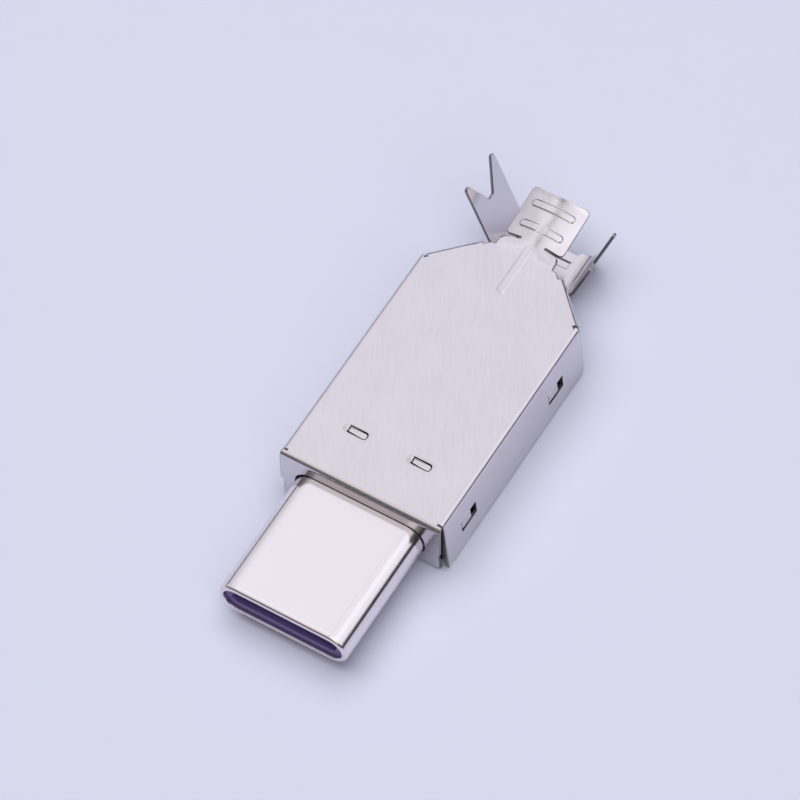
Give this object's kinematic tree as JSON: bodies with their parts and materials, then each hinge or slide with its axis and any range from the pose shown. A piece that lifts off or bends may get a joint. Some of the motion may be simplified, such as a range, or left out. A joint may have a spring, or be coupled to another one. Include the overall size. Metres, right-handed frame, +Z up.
{
  "type": "type-c cable plug",
  "caption": "Type-C cable plug in nested folded sheet covers, with a polished mouth shell, purple insulator, arched tongue and forked crimp ears, before the cable is fitted.",
  "frame": {"origin": "middle of the bounding box at the level of the underside of the lower cover", "axes": "+X across the plug, +Y from the mouth towards the cable tail, +Z up from the lower cover to the upper cover"},
  "size_m": [0.0108, 0.0304, 0.0063],
  "materials": {
    "plated_sheet": "satin nickel plating",
    "polished_shell": "polished nickel plating",
    "purple_moulding": "smooth moulding",
    "black_moulding": "smooth moulding",
    "spring_steel": "bright stamping",
    "gold_contact": "gold plating",
    "laminate": "solder mask",
    "resistor_body": "matt glaze"
  },
  "bodies": {
    "root": {"plug_shell": "polished_shell", "upper_cover": "plated_sheet", "lower_cover": "plated_sheet", "insulator": "purple_moulding", "upper_carrier": "black_moulding", "lower_carrier": "black_moulding", "side_latch": "spring_steel", "upper_ground_spring": "spring_steel", "lower_ground_spring": "spring_steel", "paddle_board": "laminate", "chip_resistor": "resistor_body", "contact_a1": "gold_contact", "contact_a4": "gold_contact", "contact_a5": "gold_contact", "contact_a6": "gold_contact", "contact_a7": "gold_contact", "contact_a9": "gold_contact", "contact_a12": "gold_contact", "contact_b1": "gold_contact", "contact_b4": "gold_contact", "contact_b5": "gold_contact", "contact_b9": "gold_contact", "contact_b12": "gold_contact"}
  },
  "joints": []
}
